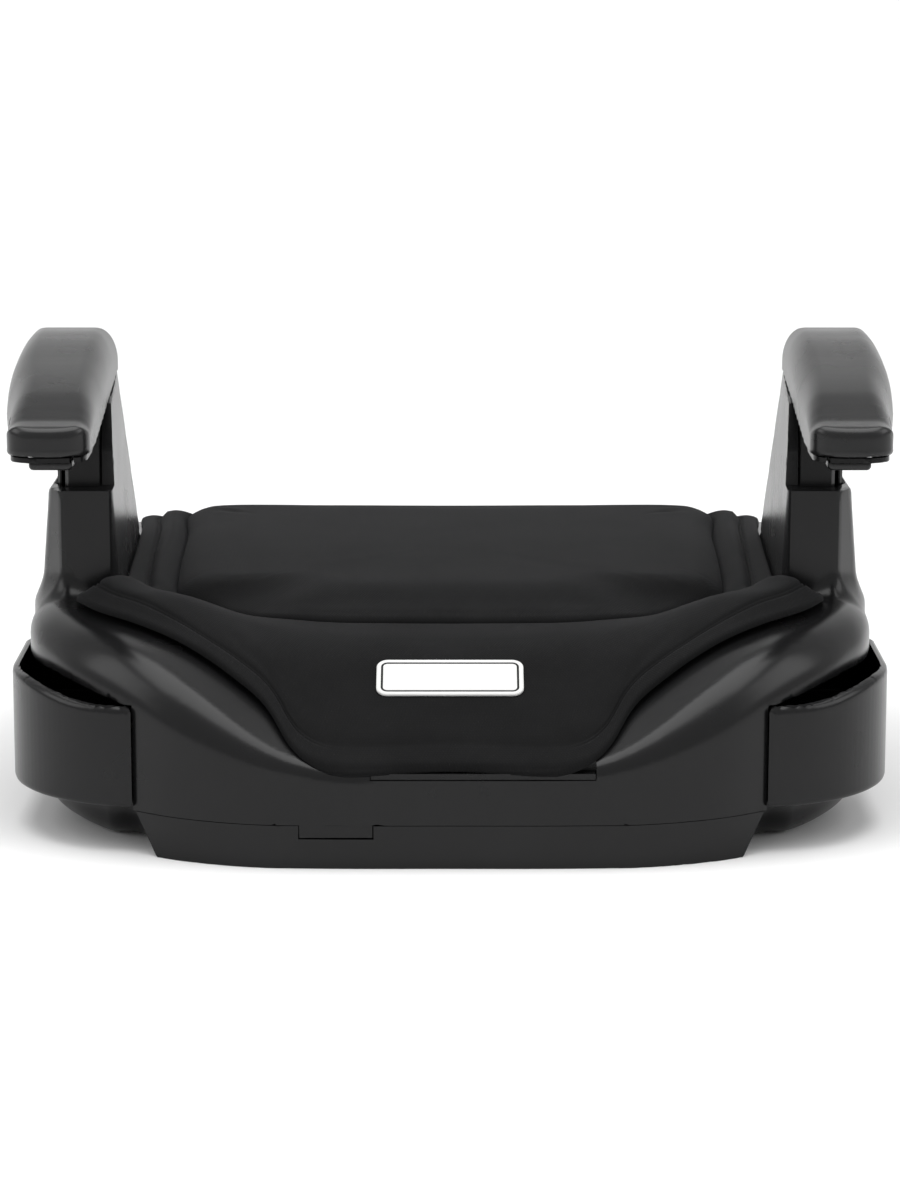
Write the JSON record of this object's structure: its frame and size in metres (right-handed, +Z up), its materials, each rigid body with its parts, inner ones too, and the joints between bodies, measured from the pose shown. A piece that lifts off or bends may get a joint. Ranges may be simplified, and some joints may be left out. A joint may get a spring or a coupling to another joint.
{
  "type": "booster seat",
  "caption": "Backless child booster seat: hollow moulded base, padded seat, armrests that lift on towers with squeeze triggers, and cup holders that slide out at the sides",
  "frame": {"origin": "middle of the footprint on the floor", "axes": "+X to the right of a viewer in front, -Y the front where the knees bend, +Z up"},
  "size_m": [0.4132, 0.4001, 0.2146],
  "materials": {
    "shell_plastic": "satin black moulded plastic with a fine grain",
    "arm_plastic": "soft satin black moulded plastic",
    "inner_plastic": "plain dark moulded plastic, not seen in use",
    "seat_fabric": "fine black knitted cover fabric over foam",
    "steel": "zinc plated steel",
    "label_print": "blank white woven label"
  },
  "bodies": {
    "base": {"upper_shell": "shell_plastic", "lower_tray": "shell_plastic", "seat_pad": "seat_fabric", "seat_cushion": "seat_fabric", "hem_retainer": "shell_plastic", "label": "label_print", "base_screw_1": "steel", "base_screw_2": "steel", "base_screw_3": "steel", "base_screw_4": "steel", "base_screw_5": "steel", "base_screw_6": "steel", "cup_rail_left": "inner_plastic", "cup_detent_left": "steel", "latch_guide_left": "steel", "cup_rail_right": "inner_plastic", "cup_detent_right": "steel", "latch_guide_right": "steel"},
    "armrest_left": {"armrest_cover_left": "arm_plastic", "armrest_frame_left": "inner_plastic", "trigger_pin_left": "steel", "trigger_spring_left": "steel", "cover_screw_left_1": "steel", "cover_screw_left_2": "steel"},
    "squeeze_lever_left": {"trigger_left": "arm_plastic"},
    "latch_left": {"latch_slide_left": "inner_plastic"},
    "cup_drawer_left": {"cup_holder_left": "shell_plastic"},
    "armrest_right": {"armrest_cover_right": "arm_plastic", "armrest_frame_right": "inner_plastic", "trigger_pin_right": "steel", "trigger_spring_right": "steel", "cover_screw_right_1": "steel", "cover_screw_right_2": "steel"},
    "squeeze_lever_right": {"trigger_right": "arm_plastic"},
    "latch_right": {"latch_slide_right": "inner_plastic"},
    "cup_drawer_right": {"cup_holder_right": "shell_plastic"}
  },
  "joints": [
    {"name": "armrest_lift_left", "type": "slide", "parent": "base", "child": "armrest_left", "axis": [0, 0, 1], "range_m": [0, 0.045]},
    {"name": "latch_withdraw_left", "type": "slide", "parent": "armrest_left", "child": "latch_left", "axis": [0, 1, 0], "range_m": [0, 0.00196]},
    {"name": "trigger_squeeze_left", "type": "hinge", "parent": "armrest_left", "child": "squeeze_lever_left", "pos_m": [-0.1775, -0.124, 0.1755], "axis": [-1, 0, 0], "range_deg": [0, 9], "stiffness_Nm_per_rad": 0.3, "deforming": ["trigger_spring_left"]},
    {"name": "cup_slide_left", "type": "slide", "parent": "base", "child": "cup_drawer_left", "axis": [-1, 0, 0], "range_m": [0, 0.082]},
    {"name": "armrest_lift_right", "type": "slide", "parent": "base", "child": "armrest_right", "axis": [0, 0, 1], "range_m": [0, 0.045]},
    {"name": "latch_withdraw_right", "type": "slide", "parent": "armrest_right", "child": "latch_right", "axis": [0, 1, 0], "range_m": [0, 0.00196]},
    {"name": "trigger_squeeze_right", "type": "hinge", "parent": "armrest_right", "child": "squeeze_lever_right", "pos_m": [0.1775, -0.124, 0.1755], "axis": [-1, 0, 0], "range_deg": [0, 9], "stiffness_Nm_per_rad": 0.3, "deforming": ["trigger_spring_right"]},
    {"name": "cup_slide_right", "type": "slide", "parent": "base", "child": "cup_drawer_right", "axis": [1, 0, 0], "range_m": [0, 0.082]}
  ],
  "couplings": [
    {"joint": "trigger_squeeze_left", "follows": "latch_withdraw_left", "rad_per_m": 80},
    {"joint": "trigger_squeeze_right", "follows": "latch_withdraw_right", "rad_per_m": 80}
  ]
}
